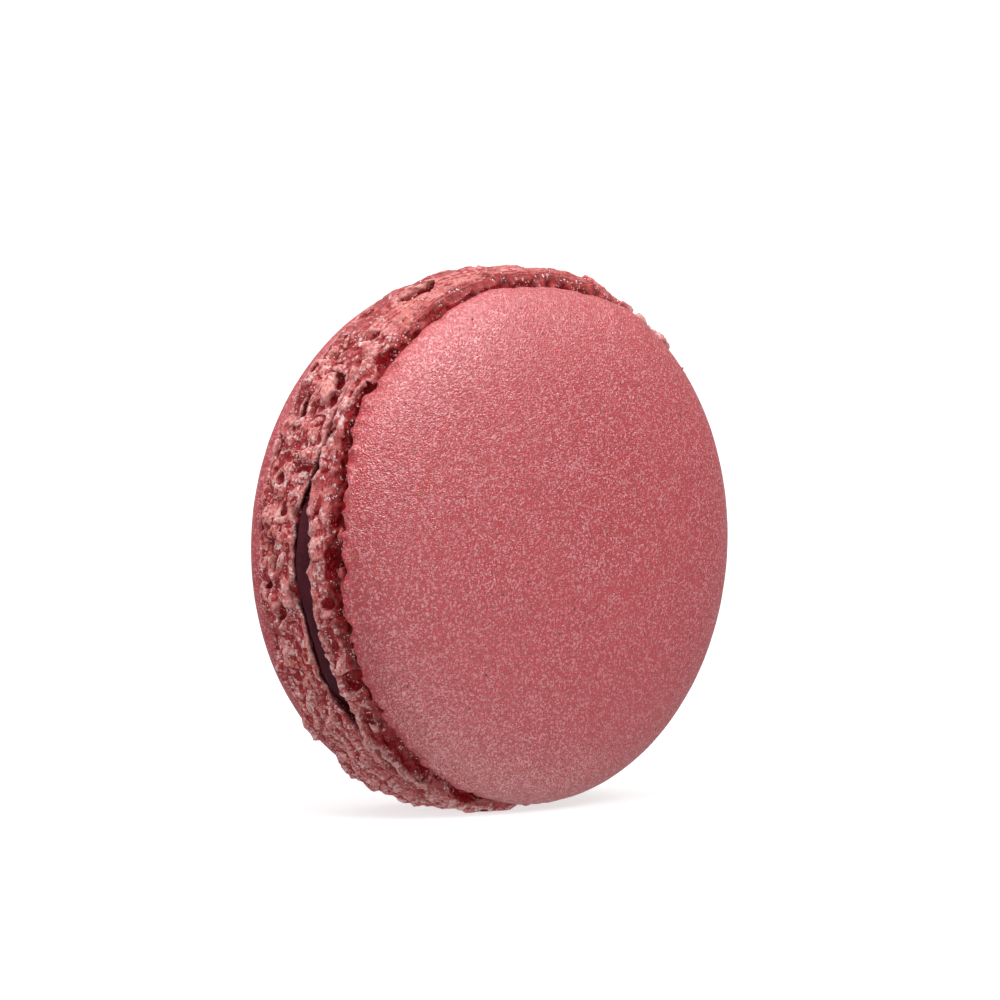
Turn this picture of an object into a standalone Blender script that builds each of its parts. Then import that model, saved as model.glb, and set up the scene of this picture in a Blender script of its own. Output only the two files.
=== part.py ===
"""A macaron that stands on its edge: two domed almond shells with craggy feet and a thin filling.

The round axis is +Y, the front cap faces -Y and +Z is up. The origin lies on the floor, under the
middle of the outline. Dimensions are in millimetres, and MM turns them into metres. Angles run
round the axis from +X towards +Z, in degrees.
"""

import math

import bmesh
import bpy
from mathutils import Vector, noise

MM = 0.001

# Driving dimensions
FOOT_RADIUS = 22.5
DOME_HEIGHT = 6.1
DOME_ROUNDNESS = 2.36
RIM_SPACING = 9.2
GAP_PLANE_Y = -1.35
FILLING_SPACE = 1.8
CLEARANCE = 0.3
FILLING_RADIUS = 20.4
FILLING_SPREAD = 1.2
EDGE_ROUNDING = 0.35
INNER_MARGIN = 0.3
FLOOR_DEPTH = 22.16

# The caps are a little narrower than the feet, and roll under at the rim
FRONT_RIM_RADIUS = 21.4
BACK_RIM_RADIUS = 21.6
RIM_BULGE = 0.25
FRONT_CREVICE_DEPTH = 1.0
BACK_CREVICE_DEPTH = 0.55
CREVICE_WAVER = 0.9
CREVICE_SHARE = 0.76
LIP_SHARE = 0.53

# How far below the rim each foot ends, in millimetres at each angle
FRONT_DROP = ((24, 0.95), (38, 0.5), (62, 0.5), (78, 0.95))
BACK_DROP = ((100, 0.95), (140, 0.6), (155, 0.4), (215, 0.4), (250, 0.95))

# The back shell is thicker on the side where the slit is open
BACK_LEAN = 0.8
LEAN_ANGLE = 225

# The slit at the left, where the back foot draws away from the front one and the filling shows
SLIT_ANGLE = 192
SLIT_HALF_WIDTH = 38
SLIT_TAPER = 0.6
FRONT_PARTING = 0.35
BACK_PARTING = 1.85

# How far the feet reach at each angle, as a share of FOOT_RADIUS
FRONT_REACH = ((18, 0.96), (38, 1.005), (60, 1.008), (140, 1.0), (205, 0.997), (262, 1.006), (272, 0.96))
FRONT_REACH += ((330, 0.955),)
BACK_REACH = ((0, 0.965), (50, 0.985), (90, 1.008), (150, 0.995), (205, 0.995), (236, 1.03), (262, 1.006))
BACK_REACH += ((283, 1.004), (296, 0.965))

# The foot's profile: widest at this share of its width, and drawn in towards its edge and its top
WIDEST_SHARE = 0.45
EDGE_FALL = 0.0255
FRONT_TOP_FALL = 0.0466
BACK_TOP_FALL = 0.012

# Relief of the feet: knobs, longer round the rim than across it, finer crumbs and a wavering rim
KNOB_LENGTH = 3.0
KNOB_WIDTH = 2.0
KNOB_HEIGHT = 1.0
CRUMB_SIZE = 1.0
CRUMB_HEIGHT = 0.35
RIM_WAVE = 0.14

# The distance from the axis to the middle of the outline, which leans with the feet
AXIS_X = 0.5
SEGMENTS = 192
FRONT_FOOT_ROWS = 5
BACK_FOOT_ROWS = 8


def smooth(t):
    """Eases from 0 to 1 as t does."""
    t = min(1.0, max(0.0, t))
    return t * t * (3 - 2 * t)


def eased(table, angle):
    """The eased value between the two entries of table on either side of angle."""
    angle %= 360
    closed = [(table[-1][0] - 360, table[-1][1]), *table, (table[0][0] + 360, table[0][1])]
    for (a0, v0), (a1, v1) in zip(closed, closed[1:]):
        if a0 <= angle <= a1:
            return v0 + (v1 - v0) * smooth((angle - a0) / (a1 - a0))
    return table[0][1]


def slit(angle):
    """How far open the slit is at this angle, from 0 to 1."""
    off = abs((angle - SLIT_ANGLE + 180) % 360 - 180) / SLIT_HALF_WIDTH
    return smooth((1 - off) / SLIT_TAPER)


def on_axis(radius, y, angle):
    """The point, in millimetres, at this radius, place along the axis and angle."""
    turn = math.radians(angle)
    return Vector((AXIS_X + radius * math.cos(turn), y, FLOOR_DEPTH + radius * math.sin(turn)))


def relief(point):
    """The height of the foot's knobs and crumbs at a point in millimetres."""
    cell = Vector((point.x / KNOB_LENGTH, point.y / KNOB_WIDTH, point.z / KNOB_LENGTH))
    knob = 0.45 - noise.voronoi(cell)[0][0]
    crumb = noise.noise(point / CRUMB_SIZE)
    return KNOB_HEIGHT * knob + CRUMB_HEIGHT * crumb


class Shell:
    """One half of the macaron. outward is -1 for the front shell and +1 for the back one."""

    def __init__(self, outward, rim_radius, crevice_depth, lean, parting, top_fall, reach, drop):
        self.outward = outward
        self.rim_radius = rim_radius
        self.crevice_depth = crevice_depth
        self.lean = lean
        self.parting = parting
        self.top_fall = top_fall
        self.reach_table = reach
        self.drop_table = drop
        self.foot_rows = FRONT_FOOT_ROWS if outward < 0 else BACK_FOOT_ROWS
        self.rim_height = RIM_SPACING / 2 - outward * GAP_PLANE_Y

    def at(self, radius, height, angle):
        """The point at this radius, height over the gap's middle plane, and angle."""
        share = self.lean * min(1.0, height / self.rim_height) * radius / FOOT_RADIUS
        thicker = share * math.cos(math.radians(angle - LEAN_ANGLE))
        return on_axis(radius, GAP_PLANE_Y + self.outward * (height + thicker), angle)

    def foot_edge(self, angle):
        """The height at which the foot begins: nearly closed, or parted at the slit."""
        closed = CLEARANCE / 2
        waver = 0.12 + 0.12 * noise.noise(on_axis(FOOT_RADIUS, self.outward, angle) / 3.0)
        return closed + waver + (self.parting - closed) * slit(angle)

    def foot_point(self, angle, share):
        """A point of the foot's outer face. share runs from its edge, 0, to the crevice, 1."""
        top = self.rim_height - eased(self.drop_table, angle)
        edge = self.foot_edge(angle)
        height = edge + (top - edge) * share
        side = WIDEST_SHARE if share < WIDEST_SHARE else 1 - WIDEST_SHARE
        fall = EDGE_FALL if share < WIDEST_SHARE else self.top_fall
        bulge = 1 - fall * abs((share - WIDEST_SHARE) / side) ** 3
        radius = FOOT_RADIUS * eased(self.reach_table, angle) * bulge
        ends = smooth(share / 0.2) * smooth((1 - share) / 0.15)
        lumps = (0.4 + 0.6 * ends) * relief(self.at(radius, height, angle))
        return self.at(radius + lumps, height, angle)

    def crevice_point(self, angle):
        """The bottom of the groove under the cap's lip."""
        drop = eased(self.drop_table, angle)
        waver = CREVICE_WAVER * noise.noise(on_axis(FOOT_RADIUS, 3 * self.outward, angle) / 2.4)
        radius = min(self.rim_radius - self.crevice_depth + waver, self.rim_radius - 0.1)
        return self.at(radius, self.rim_height - CREVICE_SHARE * drop, angle)

    def rim_waver(self, angle):
        """How far the rim strays from its circle."""
        return RIM_WAVE * noise.noise(on_axis(FOOT_RADIUS, 7 * self.outward, angle) / 2.2)

    def lip_point(self, angle):
        """The edge of the cap, where it rolls under."""
        waver = self.rim_waver(angle)
        height = self.rim_height - LIP_SHARE * eased(self.drop_table, angle)
        return self.at(self.rim_radius - 0.25 + waver, height + waver, angle)

    def dome_point(self, angle, share):
        """A point of the dome. share runs from the rim, 0, to the top, 1."""
        turn = share * math.pi / 2
        radius = (self.rim_radius + RIM_BULGE) * math.cos(turn) ** (2 / DOME_ROUNDNESS)
        height = self.rim_height + DOME_HEIGHT * math.sin(turn)
        return self.at(radius + (1 - share) * self.rim_waver(angle), height, angle)

    def inner_point(self, angle, radius):
        """A point of the flat face towards the filling."""
        return on_axis(radius, GAP_PLANE_Y + self.outward * FILLING_SPACE / 2, angle)

    def inner_edge(self, angle):
        """Where that face ends. It draws back as far as the foot parts."""
        height = FILLING_SPACE / 2 + swelling(self.parting) * slit(angle)
        return on_axis(filling_reach(angle) - INNER_MARGIN, GAP_PLANE_Y + self.outward * height, angle)

    def rings(self):
        """Every ring of points from the inner face's middle, over the foot, to the dome's top."""
        found = []
        for count, radius in ((SEGMENTS // 8, 5.0), (SEGMENTS // 4, 12.0), (SEGMENTS // 2, 17.0)):
            found.append(ring(count, lambda a, r=radius: self.inner_point(a, r)))
        found.append(ring(SEGMENTS, self.inner_edge))
        for row in range(self.foot_rows):
            share = row / (self.foot_rows - 1)
            found.append(ring(SEGMENTS, lambda a, s=share: self.foot_point(a, s)))
        found.append(ring(SEGMENTS, self.crevice_point))
        found.append(ring(SEGMENTS, self.lip_point))
        found.append(ring(SEGMENTS, lambda a: self.dome_point(a, 0.0)))
        for share in (0.2, 0.36, 0.52, 0.68):
            found.append(ring(SEGMENTS // 2, lambda a, s=share: self.dome_point(a, s)))
        found.append(ring(SEGMENTS // 4, lambda a: self.dome_point(a, 0.84)))
        found.append(ring(SEGMENTS // 8, lambda a: self.dome_point(a, 0.95)))
        return found

    def poles(self):
        """The middle of the inner face, and the top of the dome."""
        return self.inner_point(0, 0.0), self.at(0.0, self.rim_height + DOME_HEIGHT, 0)


def ring(count, point_at):
    """The points at count even angles."""
    return [point_at(i * 360 / count) for i in range(count)]


def swelling(parting):
    """How much further than half of FILLING_SPACE a foot parts in the slit."""
    return max(0.0, parting - FILLING_SPACE / 2)


def filling_reach(angle):
    """The radius of the filling's wavering edge, which comes forward in the slit."""
    waver = 0.25 * noise.noise(on_axis(FILLING_RADIUS, 0, angle) / 4.0)
    return FILLING_RADIUS + waver + FILLING_SPREAD * slit(angle)


def filling_rings():
    """The filling's rings, from the middle of one face, round its edge, to the other."""
    half = FILLING_SPACE / 2 - CLEARANCE
    count = SEGMENTS // 2

    def edge(share):
        extra = swelling(BACK_PARTING) * max(0.0, share)
        reach = EDGE_ROUNDING * share * share
        return lambda a: on_axis(filling_reach(a) - reach, GAP_PLANE_Y + share * half + extra * slit(a), a)

    def face(radius, side):
        return lambda angle: on_axis(radius, GAP_PLANE_Y + side * half, angle)

    found = [ring(count // 4, face(6.0, -1)), ring(count // 2, face(14.0, -1))]
    found += [ring(count, edge(share)) for share in (-1.0, -0.5, 0.5, 1.0)]
    found += [ring(count, face(17.5, 1)), ring(count // 2, face(14.0, 1)), ring(count // 4, face(6.0, 1))]
    return found


def bridge(bm, a, b):
    """Faces between two rings of vertices, the same length or one twice the other."""
    if len(a) < len(b):
        for i in range(len(a)):
            after = (i + 1) % len(a)
            far = (2 * i + 2) % len(b)
            bm.faces.new((a[i], b[2 * i], b[2 * i + 1]))
            bm.faces.new((a[i], b[2 * i + 1], a[after]))
            bm.faces.new((a[after], b[2 * i + 1], b[far]))
        return
    if len(a) > len(b):
        for i in range(len(b)):
            after = (i + 1) % len(b)
            far = (2 * i + 2) % len(a)
            bm.faces.new((b[i], a[2 * i + 1], a[2 * i]))
            bm.faces.new((b[i], b[after], a[2 * i + 1]))
            bm.faces.new((b[after], a[far], a[2 * i + 1]))
        return
    for i in range(len(a)):
        after = (i + 1) % len(a)
        bm.faces.new((a[i], b[i], b[after]))
        bm.faces.new((a[i], b[after], a[after]))


def cap_off(bm, ring_verts, pole, reverse):
    """A fan of triangles between a ring and one point."""
    for i in range(len(ring_verts)):
        corners = (pole, ring_verts[i], ring_verts[(i + 1) % len(ring_verts)])
        bm.faces.new(corners[::-1] if reverse else corners)


def rest_on_floor(bm):
    """Cuts the small flat spot that the macaron rests on."""
    everything = bm.verts[:] + bm.edges[:] + bm.faces[:]
    bmesh.ops.bisect_plane(bm, geom=everything, plane_co=(0, 0, 0), plane_no=(0, 0, -1), clear_outer=True)
    open_edges = [edge for edge in bm.edges if edge.is_boundary]
    bmesh.ops.holes_fill(bm, edges=open_edges, sides=0)


def solid(name, rings, poles, material):
    """One closed object, made from rings between two poles."""
    bm = bmesh.new()
    verts = [[bm.verts.new(point * MM) for point in points] for points in rings]
    first, last = (bm.verts.new(pole * MM) for pole in poles)
    cap_off(bm, verts[0], first, False)
    for a, b in zip(verts, verts[1:]):
        bridge(bm, a, b)
    cap_off(bm, verts[-1], last, True)
    rest_on_floor(bm)
    bmesh.ops.recalc_face_normals(bm, faces=bm.faces)
    mesh = bpy.data.meshes.new(name)
    bm.to_mesh(mesh)
    bm.free()
    mesh.shade_smooth()
    mesh.set_sharp_from_angle(angle=math.radians(50))
    mesh.materials.append(material)
    made = bpy.data.objects.new(name, mesh)
    bpy.context.scene.collection.objects.link(made)
    return made


def finish(name, colour, roughness):
    """A plain material in this colour."""
    material = bpy.data.materials.new(name)
    material.use_nodes = True
    surface = material.node_tree.nodes["Principled BSDF"]
    surface.inputs["Base Color"].default_value = (*colour, 1.0)
    surface.inputs["Roughness"].default_value = roughness
    surface.inputs["Metallic"].default_value = 0.0
    return material


def main():
    for old in list(bpy.data.objects):
        bpy.data.objects.remove(old)
    crust = finish("baked_shell", (0.47, 0.10, 0.12), 0.5)
    jam = finish("dark_filling", (0.07, 0.012, 0.02), 0.35)
    front_sizes = (FRONT_RIM_RADIUS, FRONT_CREVICE_DEPTH, 0.0, FRONT_PARTING, FRONT_TOP_FALL)
    back_sizes = (BACK_RIM_RADIUS, BACK_CREVICE_DEPTH, BACK_LEAN, BACK_PARTING, BACK_TOP_FALL)
    front = Shell(-1, *front_sizes, FRONT_REACH, FRONT_DROP)
    back = Shell(1, *back_sizes, BACK_REACH, BACK_DROP)
    solid("front_shell", front.rings(), front.poles(), crust)
    solid("back_shell", back.rings(), back.poles(), crust)
    half = FILLING_SPACE / 2 - CLEARANCE
    ends = (on_axis(0, GAP_PLANE_Y - half, 0), on_axis(0, GAP_PLANE_Y + half, 0))
    solid("filling", filling_rings(), ends, jam)


main()
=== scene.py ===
"""Looks for a macaron that stands on its edge: two smooth caps, two craggy feet and a dark filling.

Sizes are in millimetres, and MM turns them into metres. Angles run round the axis from +X towards
+Z, in degrees. A height is measured from the gap's middle plane, outwards along the axis.
"""

import math

import bmesh
import bpy
import numpy as np
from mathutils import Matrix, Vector, noise


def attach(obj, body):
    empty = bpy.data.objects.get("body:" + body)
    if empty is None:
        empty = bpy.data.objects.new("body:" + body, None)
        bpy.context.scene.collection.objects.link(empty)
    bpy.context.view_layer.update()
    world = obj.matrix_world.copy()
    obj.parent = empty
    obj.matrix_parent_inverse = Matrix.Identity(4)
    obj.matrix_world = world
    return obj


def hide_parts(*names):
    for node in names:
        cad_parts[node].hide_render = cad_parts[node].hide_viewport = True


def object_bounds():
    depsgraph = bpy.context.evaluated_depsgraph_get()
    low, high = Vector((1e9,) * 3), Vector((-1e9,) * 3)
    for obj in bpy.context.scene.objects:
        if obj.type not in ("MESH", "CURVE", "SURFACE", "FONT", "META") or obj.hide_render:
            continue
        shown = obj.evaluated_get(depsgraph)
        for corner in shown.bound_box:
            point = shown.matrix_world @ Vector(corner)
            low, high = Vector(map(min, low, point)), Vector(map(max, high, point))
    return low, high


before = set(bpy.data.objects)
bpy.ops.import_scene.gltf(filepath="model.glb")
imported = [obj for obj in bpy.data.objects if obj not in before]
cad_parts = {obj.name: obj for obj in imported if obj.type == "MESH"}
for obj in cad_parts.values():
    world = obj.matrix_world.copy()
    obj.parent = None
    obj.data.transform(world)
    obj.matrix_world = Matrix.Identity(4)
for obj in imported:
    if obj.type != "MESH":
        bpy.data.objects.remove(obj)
cad_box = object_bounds()

MM = 0.001
SEED = 41

# Sizes shared with the solids
FOOT_RADIUS = 22.5
DOME_HEIGHT = 6.1
DOME_ROUNDNESS = 2.36
RIM_SPACING = 9.2
GAP_PLANE_Y = -1.35
FILLING_SPACE = 1.8
CLEARANCE = 0.3
FILLING_RADIUS = 20.4
FILLING_SPREAD = 1.2
EDGE_ROUNDING = 0.35
INNER_MARGIN = 0.3
FLOOR_DEPTH = 22.16
RIM_BULGE = 0.25
CREVICE_WAVER = 0.9
FRONT_DROP = ((24, 0.95), (38, 0.5), (62, 0.5), (78, 0.95))
BACK_DROP = ((100, 0.95), (140, 0.6), (155, 0.4), (215, 0.4), (250, 0.95))
BACK_LEAN = 0.8
LEAN_ANGLE = 225
SLIT_ANGLE = 192
SLIT_HALF_WIDTH = 38
SLIT_TAPER = 0.6
FRONT_PARTING = 0.35
BACK_PARTING = 1.85
FRONT_REACH = ((18, 0.96), (38, 1.005), (60, 1.008), (140, 1.0), (205, 0.997), (262, 1.006), (272, 0.96))
FRONT_REACH += ((330, 0.955),)
BACK_REACH = ((0, 0.965), (50, 0.985), (90, 1.008), (150, 0.995), (205, 0.995), (236, 1.03), (262, 1.006))
BACK_REACH += ((283, 1.004), (296, 0.965))
WIDEST_SHARE = 0.45
EDGE_FALL = 0.0255
FRONT_TOP_FALL = 0.0466
BACK_TOP_FALL = 0.012
KNOB_LENGTH = 3.0
KNOB_WIDTH = 2.0
KNOB_HEIGHT = 1.0
CRUMB_SIZE = 1.0
CRUMB_HEIGHT = 0.35
AXIS_X = 0.5
FRONT_RIM_RADIUS = 21.4
BACK_RIM_RADIUS = 21.6
FRONT_CREVICE = 1.0
BACK_CREVICE = 0.55

# Sides of the small cubes that the feet are worked out on
FRONT_CELL = 0.14
BACK_CELL = 0.164

# Knobs of the feet: length round the axis, width across and height
KNOBS = ((3.2, 2.0, 0.28), (1.3, 1.0, 0.13), (0.55, 0.48, 0.06))

# Random lumps: number per millimetre of width, shares of the width, half-widths, sink, dug or not, stretch
LUMPS = (
    (6, 0.1, 0.7, (0.4, 0.8), (0.55, 0.95), False, 1.9),
    (16, 0.0, 0.75, (0.14, 0.3), (0.15, 0.6), False, 1.6),
    (1.6, 0.1, 0.95, (0.2, 0.4), (-0.1, 0.5), True, 2.4),
)

# Random pores, in the same terms
PORES = (26, 0.0, 1.0, (0.08, 0.15), (-0.2, 0.5), True, 1.8)

# Other relief of the feet
HIGHEST_KNOB = 0.45
CREASE_DEPTH = 0.34
STRATA_HEIGHT = 1.7
STAND_OUT = 0.55
CRUMB_RISE = 0.5
HANGING_CRUMBS = 150
SEAM_CLOSING = 0.28
EDGE_FILL = 0.35
CALM_TOP = 0.75
TOP_FILL = {"front": 0.16, "back": 0.0}

# Stretches of the feet: first and last angle, and the degrees over which each fades
CALM_STRETCH = (54, 122, 14)
FULL_STRETCH = (63, 100, 3)
TORN_STRETCH = (224, 262, 14)
CRUMB_STRETCH = (37, 61, 3)
PALE_STRETCH = (24, 58, 4)
PLAIN_STRETCH = (60, 122, 14)

# Colours of the caps, linear
CAP_DARK = (0.36, 0.0, 0.003)
CAP_LIGHT = (0.61, 0.032, 0.054)
# Pale sugar grains of the cap, partly painted sparkle of highlights
CAP_SUGAR_AND_SPARKLE = (0.76, 0.28, 0.31)
CAP_BLOTCH = (0.44, 0.012, 0.022)
CAP_CLOUD = (0.53, 0.042, 0.055)
CAP_SPECK = (0.4, 0.08, 0.02)
# Pinholes of the cap, painted as near-black dots of shade
CAP_PINHOLE_SHADE = (0.06, 0.0, 0.002)

# Colours of the feet
FOOT_DARK = (0.5, 0.08, 0.076)
FOOT_LIGHT = (0.7, 0.2, 0.185)
FOOT_WARM = (0.62, 0.17, 0.1)
FOOT_CRUMB = (0.8, 0.36, 0.34)
# Darker red patches of the foot, painted as the shade of pits
FOOT_PIT_SHADE = (0.3, 0.008, 0.012)
# Pale and white sugar flecks of the foot, partly painted highlight speckle
FOOT_SUGAR_AND_HIGHLIGHT = (0.92, 0.6, 0.6)
FOOT_WHITE_AND_HIGHLIGHT = (0.97, 0.78, 0.78)
FOOT_FLECK = (0.26, 0.004, 0.008)
# Dark spots of the foot, painted as the shade inside pores
FOOT_PORE_SHADE = (0.24, 0.004, 0.008)
# Pale colour of the foot's exposed ridges, a painted highlight
FOOT_RIDGE_HIGHLIGHT = (0.92, 0.54, 0.52)
# Painted glints: near-white sparkle dots
FOOT_GLINT = (0.97, 0.88, 0.86)
FOOT_ASHEN = (0.8, 0.55, 0.51)
FOOT_LIP = (0.58, 0.12, 0.135)
# Painted shade of the foot's walls beside the slit, near black
FOOT_SLIT_SHADE = (0.045, 0.004, 0.009)
# Painted shade of the foot's hollows, creases and sunken places, dark to red
HOLLOW_SHADE_DARK = (0.17, 0.001, 0.004)
HOLLOW_SHADE_RED = (0.52, 0.016, 0.026)
# Painted shade of the crevice under the cap's rim, dark to red
CREVICE_SHADE_DARK = (0.15, 0.002, 0.004)
CREVICE_SHADE_RED = (0.48, 0.034, 0.034)

# Colours of the filling
FILLING_DARK = (0.052, 0.006, 0.012)
FILLING_LIGHT = (0.09, 0.012, 0.022)
FILLING_GRAIN = (0.12, 0.02, 0.034)

# Colours of the floor
FLOOR_DARK = (0.44, 0.44, 0.44)
FLOOR_LIGHT = (0.46, 0.46, 0.46)

# Camera, fitted to the outlines of the caps and feet in the photograph
CAMERA_AZIMUTH = -43.07
CAMERA_ELEVATION = 2.45
CAMERA_DISTANCE = 349.7
CAMERA_LENS = 151.2
FRAME_PIXELS = 1000
AXIS_PIXEL = (498.7, 539.7)

# Glow of the floor and walls, strength of the light from all round, and the stage's sizes in metres
FLOOR_GLOW = 0.68
BACKDROP_GLOW = 0.95
WORLD_LIGHT = 0.43
STAGE_RADIUS = 1.2
STAGE_CURVE = 0.5
STAGE_SIDES = 64

# Softboxes: elevation and azimuth in degrees and power in watts
SOFTBOXES = (("key", 46, 55, 1.25), ("top", 65, 0, 1.2), ("side", 45, 90, 0.24))
SOFTBOXES += (("fill", 15, -85, 0.75), ("rear", 60, -75, 0.68), ("bounce", -38, 20, 0.4))
SOFTBOX_SIZE = 0.26
NO_GLOSS = ("fill", "rear")

# Large panels that show only as gloss
SOFTBOXES += (("overhead", 85, -90, 5.4), ("floor_gloss", -64, 79, 1.6))
PANEL_SIZES = {"overhead": 1.0, "floor_gloss": 0.6}
SOFTBOX_DISTANCE = 0.55


def smooth(t):
    """Eases from 0 to 1 as t does."""
    t = np.clip(t, 0.0, 1.0)
    return t * t * (3 - 2 * t)


def smooth_min(a, b, blend):
    """The lesser of a and b, rounded over where they are close."""
    share = np.clip(0.5 + 0.5 * (b - a) / blend, 0.0, 1.0)
    return b + (a - b) * share - blend * share * (1 - share)


def smooth_max(a, b, blend):
    """The greater of a and b, rounded over where they are close."""
    return -smooth_min(-a, -b, blend)


def eased(table, angles):
    """The eased value at each angle between the entries of table."""
    known = np.array([(table[-1][0] - 360, table[-1][1]), *table, (table[0][0] + 360, table[0][1])])
    after = np.clip(np.searchsorted(known[:, 0], angles % 360, side="right"), 1, len(known) - 1)
    a0, v0 = known[after - 1].T
    a1, v1 = known[after].T
    return v0 + (v1 - v0) * smooth((angles % 360 - a0) / (a1 - a0))


def slit(angles):
    """How far open the slit is at each angle, from 0 to 1."""
    off = np.abs((angles - SLIT_ANGLE + 180) % 360 - 180) / SLIT_HALF_WIDTH
    return smooth((1 - off) / SLIT_TAPER)


def between(angles, first, last, fade):
    """1 from the first angle to the last, easing to 0 over fade degrees beyond them."""
    middle = (first + last) / 2
    off = np.abs((angles - middle + 180) % 360 - 180) - (last - first) / 2
    return smooth(1 - off / fade)


def swelling(parting):
    """How much further than half of FILLING_SPACE a foot parts in the slit."""
    return max(0.0, parting - FILLING_SPACE / 2)


def filling_reach(angles):
    """The radius of the filling's wavering edge, which comes forward in the slit."""
    wave = np.array([noise.noise(on_axis(FILLING_RADIUS, 0, float(a)) / 4.0) for a in angles])
    return FILLING_RADIUS + 0.25 * wave + FILLING_SPREAD * slit(angles)


def on_axis(radius, y, angle):
    """The point, in millimetres, at this radius, place along the axis and angle."""
    turn = math.radians(angle)
    return Vector((AXIS_X + radius * math.cos(turn), y, FLOOR_DEPTH + radius * math.sin(turn)))


def relief(point):
    """The height of the foot's knobs and crumbs at a point, as on the solids."""
    cell = Vector((point.x / KNOB_LENGTH, point.y / KNOB_WIDTH, point.z / KNOB_LENGTH))
    knob = 0.45 - noise.voronoi(cell)[0][0]
    crumb = noise.noise(point / CRUMB_SIZE)
    return KNOB_HEIGHT * knob + CRUMB_HEIGHT * crumb


def waver(angles, size, offset):
    """Smooth noise round the axis, with waves of about this size."""
    return np.array([noise.noise(on_axis(FOOT_RADIUS, offset, float(a)) / size) for a in angles])


class Lattice:
    """Smooth noise in three directions that repeats round the axis."""

    SPAN = 32

    def __init__(self, rng, period):
        self.period = period
        slopes = rng.normal(size=(period, self.SPAN, self.SPAN, 3))
        self.slopes = (slopes / np.linalg.norm(slopes, axis=-1, keepdims=True)).astype(np.float32)

    def __call__(self, u, v, w):
        """The noise at these places, given in cells. It wraps along u."""
        u, v, w = np.broadcast_arrays(u, v, w)
        whole = [np.floor(c).astype(np.int32) for c in (u, v, w)]
        part = [(c - n).astype(np.float32) for c, n in zip((u, v, w), whole)]
        ease = [p * p * p * (p * (p * 6 - 15) + 10) for p in part]
        total = np.zeros(u.shape, np.float32)
        for corner in range(8):
            step = [(corner >> axis) & 1 for axis in range(3)]
            wraps = (self.period, self.SPAN, self.SPAN)
            slope = self.slopes[tuple((n + s) % wrap for n, s, wrap in zip(whole, step, wraps))]
            weight = 1.0
            dot = 0.0
            for axis in range(3):
                weight = weight * (ease[axis] if step[axis] else 1 - ease[axis])
                dot = dot + slope[..., axis] * (part[axis] - step[axis])
            total += weight * dot
        return total


class Shell:
    """The named sizes of one half. outward is -1 for the front shell and +1 for the back one."""

    def __init__(self, name, outward, rim_radius, crevice_depth, lean, parting, top_fall, reach, drop, rim):
        self.name = name
        self.outward = outward
        self.rim_radius = rim_radius
        self.crevice_depth = crevice_depth
        self.lean = lean
        self.parting = parting
        self.top_fall = top_fall
        self.reach_table = reach
        self.drop_table = drop
        self.rim_table = rim
        self.rim_height = RIM_SPACING / 2 - outward * GAP_PLANE_Y

    def points(self, angles, heights, radii):
        """World positions in metres."""
        turn = np.radians(angles)
        thicker = self.lean * np.minimum(1, heights / self.rim_height) * radii / FOOT_RADIUS
        heights = heights + thicker * np.cos(turn - math.radians(LEAN_ANGLE))
        x = AXIS_X + radii * np.cos(turn)
        y = GAP_PLANE_Y + self.outward * heights
        z = FLOOR_DEPTH + radii * np.sin(turn)
        return np.stack((x, y, z), axis=-1) * MM

    def rim(self, angles):
        """The radius of the cap's rim, which is a little out of round."""
        return self.rim_radius * eased(self.rim_table, angles)

    def foot_edge(self, angles):
        """The height at which the foot begins, as on the solids."""
        closed = CLEARANCE / 2
        wave = 0.12 + 0.12 * waver(angles, 3.0, self.outward)
        return closed + wave + (self.parting - closed) * slit(angles)

    def envelope(self, angles, heights, calm):
        """The foot's radius at every angle and height, with the relief of the solids times calm."""
        edge = self.foot_edge(angles)[:, None]
        top = self.rim_height - eased(self.drop_table, angles)[:, None]
        share = np.clip((heights[None, :] - edge) / (top - edge), 0, 1)
        side = np.where(share < WIDEST_SHARE, WIDEST_SHARE, 1 - WIDEST_SHARE)
        fall = np.where(share < WIDEST_SHARE, EDGE_FALL, self.top_fall)
        bulge = 1 - fall * np.abs((share - WIDEST_SHARE) / side) ** 3
        radius = FOOT_RADIUS * eased(self.reach_table, angles)[:, None] * bulge
        ends = smooth(share / 0.2) * smooth((1 - share) / 0.15)
        lumps = np.zeros(radius.shape)
        places = self.points(angles[:, None], heights[None, :], radius) / MM
        for i, row in enumerate(places):
            for j, place in enumerate(row):
                lumps[i, j] = relief(Vector(place))
        return radius + (0.4 + 0.6 * ends) * calm * lumps


def cells(rng, around, rows, u, v):
    """Random rounded cells: how far each place is from the nearest middle, and from the border."""
    middles = rng.uniform(0.0, 1.0, (around, rows, 2))
    iu = np.floor(u).astype(int)
    iv = np.floor(v).astype(int)
    near = np.full(u.shape, 9.0)
    second = near.copy()
    for du in (-1, 0, 1):
        for dv in (-1, 0, 1):
            middle = middles[(iu + du) % around, (iv + dv) % rows]
            gap = np.hypot(iu + du + middle[..., 0] - u, iv + dv + middle[..., 1] - v)
            second = np.minimum(second, np.maximum(near, gap))
            near = np.minimum(near, gap)
    return near, second - near


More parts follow.
